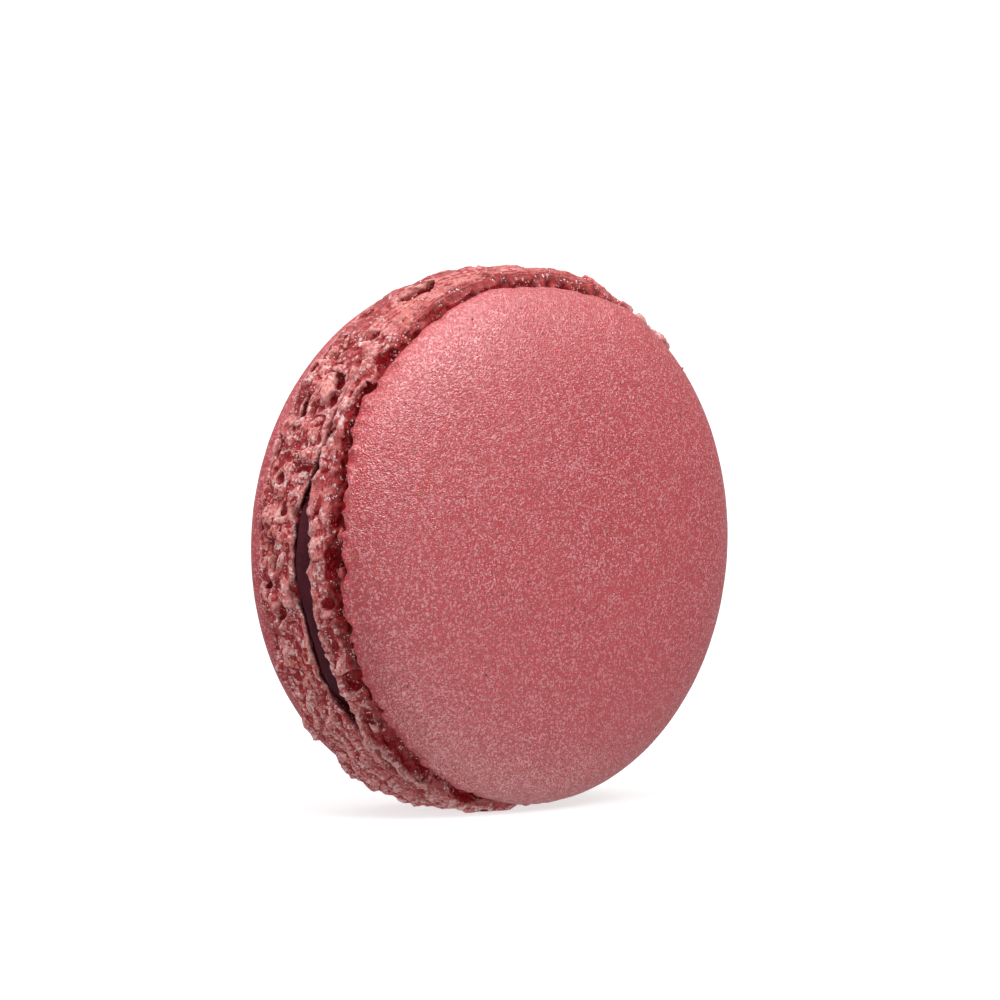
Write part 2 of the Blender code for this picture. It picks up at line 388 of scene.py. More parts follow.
class Foot:
    """A field round one shell's foot, positive inside, on a grid of angle, height and radius."""

    INNER = 19.4
    OUTER = 23.7

    def __init__(self, shell, cell, rng, edge_shift, top_shift):
        self.shell = shell
        self.rng = rng
        self.cell = cell
        self.count = int(round(2 * math.pi * FOOT_RADIUS / cell))
        self.step = 360 / self.count
        self.angles = np.arange(self.count) * self.step
        self.heights = np.arange(-0.35, shell.rim_height + 0.35, cell)
        self.radii = np.arange(self.INNER, self.OUTER, cell)
        self.edge = shell.foot_edge(self.angles) - SEAM_CLOSING * (1 - slit(self.angles))
        self.edge = self.edge + eased(edge_shift, self.angles)
        self.drop = eased(shell.drop_table, self.angles) - eased(top_shift, self.angles)
        calm = 1 - CALM_TOP * between(self.angles, *CALM_STRETCH)[:, None]
        self.plain = shell.envelope(self.angles, self.heights, calm)
        self.plain = self.plain + TOP_FILL[shell.name] * between(self.angles, *FULL_STRETCH)[:, None]
        self.crease = np.zeros(self.plain.shape)
        above = self.heights[None, :] - self.edge[:, None]
        self.plain = self.plain + EDGE_FILL * slit(self.angles)[:, None] * (1 - smooth(above / 0.9))
        self.outer = self.plain + calm * np.minimum(self.knobs(), HIGHEST_KNOB)
        self.field = self.start()

    def wave(self, size, stretch=1.0, flat=False):
        """Noise over the grid, or its inner face, with waves of this size, stretched round the axis."""
        period = max(4, int(round(2 * math.pi * FOOT_RADIUS / (size * stretch))))
        lattice = Lattice(self.rng, period)
        u = self.angles[:, None, None] / 360 * period
        v = (self.heights / size + 40)[None, :, None]
        w = (self.radii / size)[None, None, :]
        return lattice(u, v, w[:, :, :1])[:, :, 0] if flat else lattice(u, v, w)

    def knobs(self):
        """The height of knobs of three sizes, of the creases between them and of the torn ledges below."""
        total = np.zeros(self.plain.shape)
        for i, (length, width, height) in enumerate(KNOBS):
            around = int(round(2 * math.pi * FOOT_RADIUS / length))
            bend = 0.45 / (i + 1)
            u = self.angles[:, None] / 360 * around + bend * 2 * self.wave(length * 0.6, 1.2, True)
            v = self.heights[None, :] / width + 10 + bend * 2 * self.wave(width * 0.7, 1.2, True)
            near, border = cells(self.rng, around, 64, u, v)
            total += height * (0.5 - 2 * np.minimum(near, 0.75) ** 2)
            if i < 2:
                open_here = smooth((self.wave(2.2, 1.5, True) - 0.02) / 0.2)
                crease = smooth(1 - border / 0.17) * open_here / (i + 1)
                self.crease = np.maximum(self.crease, crease)
        torn = between(self.angles, *TORN_STRETCH)[:, None]
        strata = 0.16 - np.abs(self.wave(1.1, 6.0, True))
        self.crease = np.maximum(self.crease, torn * smooth(-strata / 0.2))
        return total - CREASE_DEPTH * self.crease + STRATA_HEIGHT * torn * strata

    def start(self):
        """The foot, the crevice and the core, before anything is added or dug."""
        shell = self.shell
        h = self.heights[None, :, None]
        r = self.radii[None, None, :]
        edge = self.edge[:, None, None]
        drop = self.drop[:, None, None]
        self.rough = self.wave(0.7, 1.3)
        self.fine = self.wave(0.34, 1.1)
        coarse = self.wave(1.8, 1.6)
        self.coarse = self.wave(1.3, 1.2)
        top = shell.rim_height - drop * (1 - 0.5 * coarse) + 0.3 * self.rough
        self.top = top[:, :, top.shape[2] // 2]
        body = self.outer[:, :, None] - r + 0.12 * coarse
        inner = (filling_reach(self.angles) - INNER_MARGIN)[:, None, None]
        sunk_edge = FILLING_SPACE / 2 + swelling(shell.parting) * slit(self.angles)[:, None, None]
        share = np.clip((FOOT_RADIUS - 0.6 - r) / (FOOT_RADIUS - 0.6 - inner), 0, 1)
        under = edge + (sunk_edge - edge) * share
        body = smooth_min(body, h - under + 0.16 * self.rough, 0.18)
        body = smooth_min(body, top - h, 0.22)
        groove = CREVICE_WAVER * waver(self.angles, 2.4, 3 * shell.outward)
        depth = shell.crevice_depth * eased(shell.drop_table, self.angles) / 0.95
        rim = shell.rim(self.angles)
        core = np.minimum(rim - depth + groove, rim - 0.25)[:, None, None] - r
        core = smooth_min(core, h - under - 0.5, 0.3)
        core = np.minimum(core, shell.rim_height - 0.12 - h)
        return smooth_max(body, core, 0.3)

    def roughen(self):
        """The smaller unevenness, over everything that was added or dug, and a limit to what stands out."""
        self.field = self.field + 0.12 * self.rough + 0.1 * self.fine
        limit = self.plain + STAND_OUT + CRUMB_RISE * between(self.angles, *CRUMB_STRETCH)[:, None]
        self.field = np.minimum(self.field, limit[:, :, None] - self.radii)

    def shape(self, angle, height, radius, size, turn=0.0, dig=False, blend=0.12):
        """Adds an ellipsoid, or digs one out. size holds its half-lengths round, across and outwards."""
        arc = math.radians(1) * radius
        spare = blend + min(0.5, size[1]) * (1.3 if dig else 0.7)
        far = max(size[0], size[1]) + spare
        i0 = int(math.floor((angle - far / arc) / self.step))
        i1 = int(math.ceil((angle + far / arc) / self.step)) + 1
        j0 = max(0, int((height - far - self.heights[0]) / self.cell))
        j1 = min(len(self.heights), int((height + far - self.heights[0]) / self.cell) + 2)
        k0 = max(0, int((radius - size[2] - spare - self.radii[0]) / self.cell))
        k1 = min(len(self.radii), int((radius + size[2] + spare - self.radii[0]) / self.cell) + 2)
        if j1 <= j0 or k1 <= k0:
            return
        around = (np.arange(i0, i1) * self.step - angle)[:, None, None] * arc
        across = (self.heights[j0:j1] - height)[None, :, None]
        out = (self.radii[k0:k1] - radius)[None, None, :]
        c = math.cos(turn)
        s = math.sin(turn)
        p = (around * c + across * s) / size[0]
        q = (across * c - around * s) / size[1]
        inside = (1 - np.sqrt(p * p + q * q + (out / size[2]) ** 2)) * min(size)
        block = np.ix_(np.arange(i0, i1) % self.count, np.arange(j0, j1), np.arange(k0, k1))
        uneven = 0.55 * self.rough[block] + 0.4 * self.fine[block]
        if dig:
            uneven = 1.4 * uneven + 0.7 * self.coarse[block]
        inside = inside + min(0.5, size[1]) * uneven
        old = self.field[block]
        self.field[block] = smooth_min(old, -inside, blend) if dig else smooth_max(old, inside, blend)

    def surface_radius(self, angle, height):
        """The outer radius at this place."""
        i = int(round(angle / self.step)) % self.count
        j = int(np.clip(round((height - self.heights[0]) / self.cell), 0, len(self.heights) - 1))
        return self.outer[i, j]

    def scatter(self, count, low, high, size, sink, dig, stretch):
        """Random lumps or pits between two shares of the foot's width. sink is in sizes."""
        for _ in range(count):
            angle = self.rng.uniform(0, 360)
            edge = float(np.interp(angle, self.angles, self.edge))
            top = self.shell.rim_height - float(np.interp(angle, self.angles, self.drop))
            height = edge + (top - edge) * self.rng.uniform(low, high)
            half = self.rng.uniform(*size)
            long = half * self.rng.uniform(1, stretch)
            turn = self.rng.uniform(-0.5, 0.5)
            deep = half * self.rng.uniform(0.8, 1.2)
            radius = self.surface_radius(angle, height) - deep * self.rng.uniform(*sink)
            self.shape(angle, height, radius, (long, half, deep), turn, dig, min(0.15, 0.4 * half))

    def mesh(self):
        """Vertices as angle, height and radius, the faces, and how sheltered each vertex is."""
        f = self.field.astype(np.float32)
        f[:, 0, :] = -1
        f[:, -1, :] = -1
        f[:, :, -1] = -1
        n, nh, nr = f.shape
        inside = f > 0
        sheltered = self.blurred(inside)
        ahead = np.roll(inside, -1, axis=0)
        count = np.zeros((n, nh - 1, nr - 1), np.int8)
        for block in (inside, ahead):
            for j in (0, 1):
                for k in (0, 1):
                    count += block[:, j:nh - 1 + j, k:nr - 1 + k]
        crossed = np.argwhere((count > 0) & (count < 8))
        index = np.full(count.shape, -1, np.int64)
        index[tuple(crossed.T)] = np.arange(len(crossed))
        corner = np.array([(a, b, c) for a in (0, 1) for b in (0, 1) for c in (0, 1)])
        near = [((crossed[:, 0] + a) % n, crossed[:, 1] + b, crossed[:, 2] + c) for a, b, c in corner]
        values = np.stack([f[spot] for spot in near], axis=1)
        place = np.zeros((len(crossed), 3))
        hits = np.zeros(len(crossed))
        for a in range(8):
            for b in range(a + 1, 8):
                if np.abs(corner[a] - corner[b]).sum() != 1:
                    continue
                cut = (values[:, a] > 0) != (values[:, b] > 0)
                va = values[cut, a]
                share = (va / (va - values[cut, b]))[:, None]
                place[cut] += corner[a] + (corner[b] - corner[a]) * share
                hits[cut] += 1
        place = crossed + place / hits[:, None]
        angles = place[:, 0] * self.step
        heights = self.heights[0] + place[:, 1] * self.cell
        radii = self.radii[0] + place[:, 2] * self.cell
        faces = self.faces(inside, ahead, index)
        kept = main_part(faces, len(crossed))
        faces = (np.cumsum(kept) - 1)[faces[kept[faces[:, 0]]]]
        shelter = sheltered[tuple(crossed.T)]
        return angles[kept], heights[kept], radii[kept], faces, shelter[kept]

    @staticmethod
    def faces(inside, ahead, index):
        """One four-sided face for every grid edge that crosses the surface."""
        back = np.roll(index, 1, axis=0)
        round_ring = (index[:, :-1, :-1], index[:, 1:, :-1], index[:, 1:, 1:], index[:, :-1, 1:])
        across_ring = (back[:, :, :-1], back[:, :, 1:], index[:, :, 1:], index[:, :, :-1])
        out_ring = (back[:, :-1, :], index[:, :-1, :], index[:, 1:, :], back[:, 1:, :])
        runs = (
            (inside[:, 1:-1, 1:-1], ahead[:, 1:-1, 1:-1], round_ring),
            (inside[:, :-1, 1:-1], inside[:, 1:, 1:-1], across_ring),
            (inside[:, 1:-1, :-1], inside[:, 1:-1, 1:], out_ring),
        )
        found = []
        for first, second, ring in runs:
            found.append(np.stack([corner[first & ~second] for corner in ring], axis=1))
            found.append(np.stack([corner[~first & second] for corner in ring[::-1]], axis=1))
        return np.concatenate(found)

    def blurred(self, inside):
        """The share of each neighbourhood that is solid: over a half in a hollow, under it on a ridge."""
        half = max(1, int(round(0.36 / self.cell)))
        share = inside.astype(np.float32)
        for axis in (0, 1, 2):
            mode = "wrap" if axis == 0 else "edge"
            pad = [(0, 0)] * 3
            pad[axis] = (half + 1, half)
            total = np.cumsum(np.pad(share, pad, mode=mode), axis=axis, dtype=np.float64)
            length = share.shape[axis]
            upper = np.take(total, range(2 * half + 1, 2 * half + 1 + length), axis=axis)
            lower = np.take(total, range(0, length), axis=axis)
            share = ((upper - lower) / (2 * half + 1)).astype(np.float32)
        return share


def main_part(faces, count):
    """Which vertices belong to the largest connected part of the mesh."""
    label = np.arange(count)
    while True:
        low = label[faces].min(axis=1)
        after = label.copy()
        np.minimum.at(after, faces.ravel(), np.repeat(low, faces.shape[1]))
        after = after[after]
        if (after == label).all():
            break
        label = after
    return label == np.bincount(label).argmax()


def add_object(name, data):
    """A new object in the scene."""
    made = bpy.data.objects.new(name, data)
    bpy.context.scene.collection.objects.link(made)
    return made


def make_object(name, points, faces, flip):
    """A smooth-shaded object from arrays. Open rings of the mesh are closed."""
    low = np.array(cad_box[0])
    high = np.array(cad_box[1])
    points = np.clip(points, low, high)
    mesh = bpy.data.meshes.new(name)
    if flip:
        faces = [face[::-1] for face in faces]
    mesh.from_pydata(points.tolist(), [], [list(map(int, face)) for face in faces])
    mesh.validate()
    bm = bmesh.new()
    bm.from_mesh(mesh)
    bmesh.ops.holes_fill(bm, edges=[edge for edge in bm.edges if edge.is_boundary], sides=0)
    bm.to_mesh(mesh)
    bm.free()
    mesh.shade_smooth()
    return add_object(name, mesh)


def paint(made, name, values):
    """Keeps one number for each vertex, for the materials to read."""
    layer = made.data.attributes.new(name, "FLOAT", "POINT")
    layer.data.foreach_set("value", np.asarray(values, np.float32))


def build_foot(shell, cell, rng, marks, crumbs, edge_shift, top_shift):
    """The craggy foot of one shell. marks are the hollows that the photograph shows, crumbs the lumps."""
    foot = Foot(shell, cell, rng, edge_shift, top_shift)
    wide = shell.rim_height
    for number, *lump in LUMPS:
        foot.scatter(int(number * wide), *lump)
    for angle, height, out, size in crumbs:
        radius = foot.surface_radius(angle, height) + out
        foot.shape(angle, height, radius, (1.7 * size, size, 0.8 * size), 0.0, False, 0.15)
    for angle, height, long, across, deep, turn in marks:
        radius = foot.surface_radius(angle, height) - 0.25 * deep
        foot.shape(angle, height, radius, (long, across, deep), math.radians(turn), True, 0.12)
    foot.scatter(int(PORES[0] * wide), *PORES[1:])
    lip(foot)
    foot.roughen()
    angles, heights, radii, faces, shelter = foot.mesh()
    points = shell.points(angles, heights, radii)
    made = make_object(shell.name + "_foot", points, faces, shell.outward > 0)
    i = np.round(angles / foot.step).astype(int) % foot.count
    j = np.clip(np.round((heights - foot.heights[0]) / foot.cell).astype(int), 0, len(foot.heights) - 1)
    depth = foot.plain[i, j] - radii
    near_rim = smooth((heights - shell.rim_height + 0.4) / 0.25)
    rim = shell.rim(angles)
    wall = smooth((foot.edge[i] + 0.34 - heights) / 0.25) * smooth((depth - 0.08) / 0.25)
    # shelter, sunk and crease mark where the foot material paints shade in hollows and creases; shelter
    # with open marks the ridges where it paints highlight
    paint(made, "shelter", shelter)
    paint(made, "open", smooth((heights - foot.edge[i] - 0.15) / 0.5) * smooth((0.45 - depth) / 0.35))
    paint(made, "sunk", np.clip(depth / 1.6, 0, 1))
    paint(made, "crease", foot.crease[i, j] * smooth((1.2 - depth) / 0.5))
    widest = foot.plain.max(axis=1)[i] - radii
    # Marks the foot's wall under the cap's rim, where the foot material paints shade
    paint(made, "crevice", smooth((heights - foot.top[i, j] + 0.4) / 0.25) * smooth((widest - 0.35) / 0.35))
    paint(made, "lip", near_rim * smooth((radii - rim + 0.7) / 0.4))
    paint(made, "ashen", between(angles, *PALE_STRETCH))
    paint(made, "calm", between(angles, *PLAIN_STRETCH) * smooth((1.0 - depth) / 0.5))
    # Marks the foot's walls beside the slit, where the foot material paints shade
    paint(made, "slit_shade", wall * slit(angles))
    return made


def lip(foot):
    """Crumbs that hang under the cap's rim."""
    shell = foot.shell
    rng = foot.rng
    for _ in range(HANGING_CRUMBS):
        angle = rng.uniform(0, 360)
        size = rng.uniform(0.12, 0.28)
        height = shell.rim_height - rng.uniform(0.0, 0.3)
        radius = float(shell.rim(np.array([angle]))[0]) - rng.uniform(0.05, 0.35)
        foot.shape(angle, height, radius, (size * rng.uniform(1, 1.8), size, size), rng.uniform(-0.4, 0.4))


def ring_faces(start_a, count_a, start_b, count_b):
    """Faces between two rings of vertices, the same length or the second half as long."""
    i = np.arange(count_b)
    if count_a == count_b:
        after = (i + 1) % count_a
        quads = np.stack((start_a + i, start_a + after, start_b + after, start_b + i), axis=1)
        return [tuple(row) for row in quads]
    far = (2 * i + 2) % count_a
    after = (i + 1) % count_b
    lone = np.stack((start_a + 2 * i, start_a + 2 * i + 1, start_b + i), axis=1)
    wide = np.stack((start_a + 2 * i + 1, start_a + far, start_b + after, start_b + i), axis=1)
    return [tuple(row) for row in lone] + [tuple(row) for row in wide]


def build_cap(shell, ragged, rim_shift):
    """The smooth dome of one shell, with a rim that rolls under. ragged and rim_shift are angle tables."""
    full = 960
    angles = np.arange(full) * 360 / full
    rows = []
    height = shell.rim_height
    rim = shell.rim_radius + RIM_BULGE
    uneven = eased(shell.rim_table, angles) - 1
    under = ((-1.9, -0.3), (-1.2, -0.36), (-0.75, -0.46), (-0.42, -0.54), (-0.2, -0.5))
    for inward, drop in (*under, (-0.06, -0.36), (0.0, -0.18)):
        rows.append((full, rim + inward, height + drop, smooth((inward + 1.2) / 0.8)))
    for i in range(15):
        t = 0.012 + 0.24 * (i / 15) ** 1.35
        rows.append((full, *dome_at(rim, height, t), 1 - smooth(t / 0.14)))
    coarser = [(2, 0.25 + 0.03 * i) for i in range(1, 17)]
    coarser += [(4, 0.73 + 0.032 * i) for i in range(1, 7)]
    for share, t in (*coarser, (8, 0.945), (8, 0.963), (16, 0.98)):
        rows.append((full // share, *dome_at(rim, height, t), 0.0))
    wave = 0.34 * waver(angles, 2.4, 5 + shell.outward) + 0.34 * waver(angles, 0.9, 11 + shell.outward)
    wave += 0.24 * waver(angles, 0.45, 17 + shell.outward)
    other = 0.22 * waver(angles, 1.3, 23 + shell.outward) + 0.12 * waver(angles, 0.5, 31 + shell.outward)
    strength = eased(ragged, angles)
    shift = eased(rim_shift, angles)
    points = []
    faces = []
    start = 0
    for row, (count, radius, high, loose) in enumerate(rows):
        pick = slice(None, None, full // count)
        near_rim = smooth((radius / rim - 0.45) / 0.5)
        r = radius * (1 + near_rim * uneven[pick])
        r = r + loose ** 2 * strength[pick] * np.minimum(other[pick], 0.1)
        h = high + loose * (loose ** 2 * strength[pick] * wave[pick] + shift[pick])
        points.append(shell.points(angles[pick], h, r))
        if row:
            before = rows[row - 1][0]
            faces += ring_faces(start - before, before, start, count)
        start += count
    points = undulated(np.concatenate(points), shell)
    return make_object(shell.name + "_cap", points, faces, shell.outward < 0)


def dome_at(rim, height, t):
    """Radius and height on the dome. t runs from the rim, 0, to the top, 1."""
    turn = t * math.pi / 2
    return rim * math.cos(turn) ** (2 / DOME_ROUNDNESS), height + DOME_HEIGHT * math.sin(turn)


def undulated(points, shell):
    """The dome's points with a faint unevenness along the axis."""
    for i, place in enumerate(points / MM):
        soft = 0.05 * noise.noise(Vector(place) / 6.0) + 0.018 * noise.noise(Vector(place) / 1.7)
        points[i, 1] += -abs(soft) * shell.outward * MM
    return points


def build_filling():
    """The dark layer, a disc with a soft wavering edge that swells into the slit."""
    full = 480
    half = FILLING_SPACE / 2 - CLEARANCE
    shell = Shell("filling", 1, 1, 0, 0, 0, 0, BACK_REACH, BACK_DROP, ROUND)
    angles = np.arange(full) * 360 / full
    reach = filling_reach(angles) + 0.06 * waver(angles, 1.2, 3)
    swell = (swelling(BACK_PARTING) + 0.3) * slit(angles) + 0.9 * eased(BACK_EDGE, angles)
    points = []
    faces = []
    start = 0
    rows = [(-3.0, -1.0), (-0.6, -1.0)]
    rows += [(0.0, share) for share in np.linspace(-0.95, 0.95, 11)]
    rows += [(-0.6, 1.0), (-3.9, 1.0)]
    for row, (inward, share) in enumerate(rows):
        rounding = EDGE_ROUNDING * abs(share) ** 4 * (1 - 0.6 * slit(angles) * (share > 0))
        radii = reach + inward - rounding + 0.45 * slit(angles) * max(0.0, share)
        raised = max(0.0, share) * swell * (inward > -3.5)
        points.append(shell.points(angles, share * half + raised, radii))
        if row:
            faces += ring_faces(start - full, full, start, full)
        start += full
    return make_object("filling_disc", np.concatenate(points), faces, True)


class Nodes:
    """Short calls for building a material's nodes."""

    def __init__(self, name):
        self.material = bpy.data.materials.new(name)
        self.material.use_nodes = True
        self.tree = self.material.node_tree
        self.surface = self.tree.nodes["Principled BSDF"]

    def add(self, kind, values=(), **settings):
        """A node with these unlinked values and properties."""
        node = self.tree.nodes.new(kind)
        for key, value in settings.items():
            setattr(node, key, value)
        for key, value in dict(values).items():
            node.inputs[key].default_value = value
        return node

    def link(self, source, target):
        self.tree.links.new(source, target)

    def place(self):
        """Where on the object a point lies, in metres."""
        return self.add("ShaderNodeTexCoord").outputs["Object"]

    def attribute(self, name):
        return self.add("ShaderNodeAttribute", attribute_name=name).outputs["Fac"]

    def grain(self, size, detail=2.0, rough=0.5, seed=0.0):
        """Noise with waves of this many millimetres, about 0.5 on average."""
        values = {"W": seed, "Scale": 1 / (size * MM), "Detail": detail, "Roughness": rough}
        node = self.add("ShaderNodeTexNoise", values, noise_dimensions="4D")
        self.link(self.place(), node.inputs["Vector"])
        return node.outputs["Fac"]

    def scattered(self, size, place, channel):
        """How far each place is from its cell's middle, and a random number for the cell."""
        node = self.add("ShaderNodeTexVoronoi", {"Scale": 1 / (size * MM)})
        self.link(place, node.inputs["Vector"])
        split = self.add("ShaderNodeSeparateColor")
        self.link(node.outputs["Color"], split.inputs["Color"])
        return node.outputs["Distance"], split.outputs[channel]

    def grains(self, size):
        """A random number from 0 to 1 for each grain, of this size in millimetres."""
        return self.scattered(size, self.place(), "Green")[1]

    def domes(self, size):
        """A rounded bump for each grain, of this size in millimetres, from 0 to 1."""
        return self.steps(self.scattered(size, self.place(), "Green")[0], 0.75, 0.1)

    def spots(self, spacing, radius, share, seed=0.0):
        """1 inside scattered round spots, with this spacing and radius in millimetres."""
        shifted = self.add("ShaderNodeVectorMath", {1: (seed, 0.0, 0.0)}, operation="ADD")
        self.link(self.place(), shifted.inputs[0])
        off, number = self.scattered(spacing, shifted.outputs["Vector"], "Red")
        near = self.steps(off, radius / spacing, 0.5 * radius / spacing)
        return self.times(near, self.steps(number, share + 0.02, share))

    def steps(self, value, low, high, out_low=0.0, out_high=1.0):
        """Maps low to out_low and high to out_high, eased and held beyond them."""
        values = {"From Min": low, "From Max": high, "To Min": out_low, "To Max": out_high}
        node = self.add("ShaderNodeMapRange", values, interpolation_type="SMOOTHSTEP")
        self.link(value, node.inputs["Value"])
        return node.outputs["Result"]

    def math(self, kind, a, b):
        node = self.add("ShaderNodeMath", operation=kind)
        for socket, value in zip(node.inputs, (a, b)):
            if isinstance(value, float):
                socket.default_value = value
            else:
                self.link(value, socket)
        return node.outputs["Value"]

    def times(self, a, b):
        return self.math("MULTIPLY", a, b)

    def mix(self, share, a, b):
        """Blends two colours, each a socket or a linear colour."""
        node = self.add("ShaderNodeMix", data_type="RGBA")
        self.link(share, node.inputs["Factor"])
        for socket, value in ((node.inputs[6], a), (node.inputs[7], b)):
            if isinstance(value, tuple):
                socket.default_value = (*value, 1.0)
            else:
                self.link(value, socket)
        return node.outputs[2]

    def bump(self, height, depth, before=None):
        """Relief of this many millimetres, over any earlier relief."""
        node = self.add("ShaderNodeBump", {"Distance": depth * MM})
        self.link(height, node.inputs["Height"])
        if before is not None:
            self.link(before, node.inputs["Normal"])
        return node.outputs["Normal"]

    def done(self, colour, roughness, normal):
        for socket, value in (("Base Color", colour), ("Roughness", roughness), ("Normal", normal)):
            self.link(value, self.surface.inputs[socket])
        return self.material


def cap_material():
    """Satin baked shell: fine sugary grain whose pale grains are partly painted sparkle, pinholes painted
    as near-black dots of shade, and a few brown almond specks.
    """
    m = Nodes("baked_cap")
    grains = m.grains(0.17)
    fine = m.grain(0.14, 2.0, 0.7)
    soft = m.grain(2.6, 3.0, 0.5, 4.0)
    broad = m.grain(11.0, 1.0, 0.5, 8.0)
    both = m.math("ADD", m.times(grains, 0.5), m.steps(fine, 0.35, 0.65, 0.0, 0.5))
    colour = m.mix(m.steps(both, 0.25, 0.85), CAP_DARK, CAP_LIGHT)
    # Pale grains: sugar, and partly painted sparkle of highlights
    colour = m.mix(m.steps(m.grains(0.15), 0.69, 0.84, 0.0, 0.68), colour, CAP_SUGAR_AND_SPARKLE)
    colour = m.mix(m.steps(soft, 0.42, 0.75, 0.0, 0.22), colour, CAP_BLOTCH)
    colour = m.mix(m.steps(broad, 0.35, 0.7, 0.0, 0.2), colour, CAP_CLOUD)
    colour = m.mix(m.times(m.spots(4.6, 0.5, 0.4, 2.0), 0.35), colour, CAP_SPECK)
    holes = m.spots(1.25, 0.14, 0.45)
    # Painted shade: pinholes drawn as near-black dots
    colour = m.mix(m.times(holes, 0.95), colour, CAP_PINHOLE_SHADE)
    rough = m.math("MAXIMUM", m.steps(both, 0.25, 0.85, 0.54, 0.2), holes)
    normal = m.bump(m.domes(0.16), 0.042)
    normal = m.bump(m.grain(0.5, 2.0, 0.5, 3.0), 0.02, normal)
    m.surface.inputs["IOR"].default_value = 1.7
    m.surface.inputs["Specular IOR Level"].default_value = 0.8
    return m.done(colour, rough, normal)


def foot_material():
    """Crumbly foot: pink grainy knobs, painted shade in creases, hollows, pits and pores and on the glossy
    red crevice under the cap's rim, painted highlight on ridges, pale sugar flecks that are partly painted
    highlight, and painted glints.
    """
    m = Nodes("baked_foot")
    grains = m.grains(0.19)
    fine = m.grain(0.2, 4.0, 0.75)
    crumb = m.grain(0.6, 3.0, 0.65, 3.0)
    patch = m.grain(1.8, 2.0, 0.5, 5.0)
    warm = m.grain(3.2, 1.0, 0.5, 9.0)
    shelter = m.attribute("shelter")
    crevice = m.attribute("crevice")
    slit_shade = m.attribute("slit_shade")
    sugary = m.steps(m.grain(1.1, 2.0, 0.5, 12.0), 0.4, 0.6, 0.35, 1.0)
    sugary = m.times(sugary, m.steps(m.attribute("calm"), 0.0, 1.0, 1.0, 0.35))
    colour = m.mix(m.steps(patch, 0.38, 0.62), FOOT_DARK, FOOT_LIGHT)
    colour = m.mix(m.steps(warm, 0.5, 0.66, 0.0, 0.45), colour, FOOT_WARM)
    colour = m.mix(m.steps(crumb, 0.52, 0.66, 0.0, 0.6), colour, FOOT_CRUMB)
    # Painted shade: darker red patches as the shade of pits
    colour = m.mix(m.steps(crumb, 0.45, 0.34, 0.0, 0.75), colour, FOOT_PIT_SHADE)
    # Pale and white flecks: sugar crumbs, and partly painted highlight speckle
    flecks = m.times(m.steps(fine, 0.53, 0.66, 0.0, 0.72), sugary)
    colour = m.mix(flecks, colour, FOOT_SUGAR_AND_HIGHLIGHT)
    flecks = m.times(m.steps(grains, 0.64, 0.80, 0.0, 0.75), sugary)
    colour = m.mix(flecks, colour, FOOT_WHITE_AND_HIGHLIGHT)
    flecks = m.times(m.steps(grains, 0.24, 0.12, 0.0, 0.45), sugary)
    colour = m.mix(flecks, colour, FOOT_FLECK)
    # Painted shade: dark spots as the shade inside pores
    colour = m.mix(m.steps(fine, 0.44, 0.34, 0.0, 0.75), colour, FOOT_PORE_SHADE)
    # Painted highlight: pale colour on ridges, where the neighbourhood is least solid
    ridge_highlight = m.times(m.steps(shelter, 0.43, 0.3, 0.0, 0.45), m.attribute("open"))
    colour = m.mix(ridge_highlight, colour, FOOT_RIDGE_HIGHLIGHT)
    # Painted shade: darker red in sheltered hollows, creases and sunken places; inner holds where, deep
    # holds the shade's colour
    hollow = m.steps(shelter, 0.51, 0.63, 0.0, 0.95)
    creased = m.times(m.attribute("crease"), 0.75)
    low = m.steps(m.attribute("sunk"), 0.14, 0.45)
    inner = m.math("MAXIMUM", m.math("MAXIMUM", hollow, creased), low)
    deep = m.mix(m.steps(fine, 0.38, 0.62), HOLLOW_SHADE_DARK, HOLLOW_SHADE_RED)
    colour = m.mix(inner, colour, deep)
    # Painted shade: the crevice under the cap's rim, dark to red
    crevice_shade = m.mix(m.steps(crumb, 0.38, 0.62), CREVICE_SHADE_DARK, CREVICE_SHADE_RED)
    colour = m.mix(m.times(crevice, 0.95), colour, crevice_shade)
    glossy = m.math("MAXIMUM", inner, crevice)
    # Painted glints: near-white sparkle dots, mostly in the glossy hollows and crevice
    sparkle = m.steps(m.grain(0.17, 1.0, 0.5, 21.0), 0.6, 0.66)
    sparkle = m.times(sparkle, m.steps(m.grain(0.8, 1.0, 0.5, 27.0), 0.5, 0.58))
    glints = m.times(sparkle, m.steps(glossy, 0.0, 1.0, 0.1, 1.0))
    colour = m.mix(glints, colour, FOOT_GLINT)
    colour = m.mix(m.times(m.attribute("ashen"), 0.4), colour, FOOT_ASHEN)
    colour = m.mix(m.times(m.attribute("lip"), 0.6), colour, FOOT_LIP)
    # Painted shade: near-black walls beside the slit
    colour = m.mix(slit_shade, colour, FOOT_SLIT_SHADE)
    rough = m.steps(glossy, 0.1, 0.9, 0.6, 0.24)
    rough = m.math("MAXIMUM", rough, m.times(slit_shade, 0.8))
    normal = m.bump(fine, 0.1)
    normal = m.bump(crumb, 0.08, normal)
    m.surface.inputs["Specular IOR Level"].default_value = 0.34
    return m.done(colour, rough, normal)


def filling_material():
    """Dark smooth filling, close to matt."""
    m = Nodes("dark_filling_soft")
    fine = m.grain(0.35, 3.0, 0.6)
    patch = m.grain(3.0, 2.0, 0.5, 2.0)
    colour = m.mix(m.steps(patch, 0.35, 0.7), FILLING_DARK, FILLING_LIGHT)
    colour = m.mix(m.steps(fine, 0.4, 0.8, 0.0, 0.5), colour, FILLING_GRAIN)
    rough = m.steps(fine, 0.3, 0.7, 0.65, 0.5)
    m.surface.inputs["Specular IOR Level"].default_value = 0.15
    return m.done(colour, rough, m.bump(fine, 0.03))


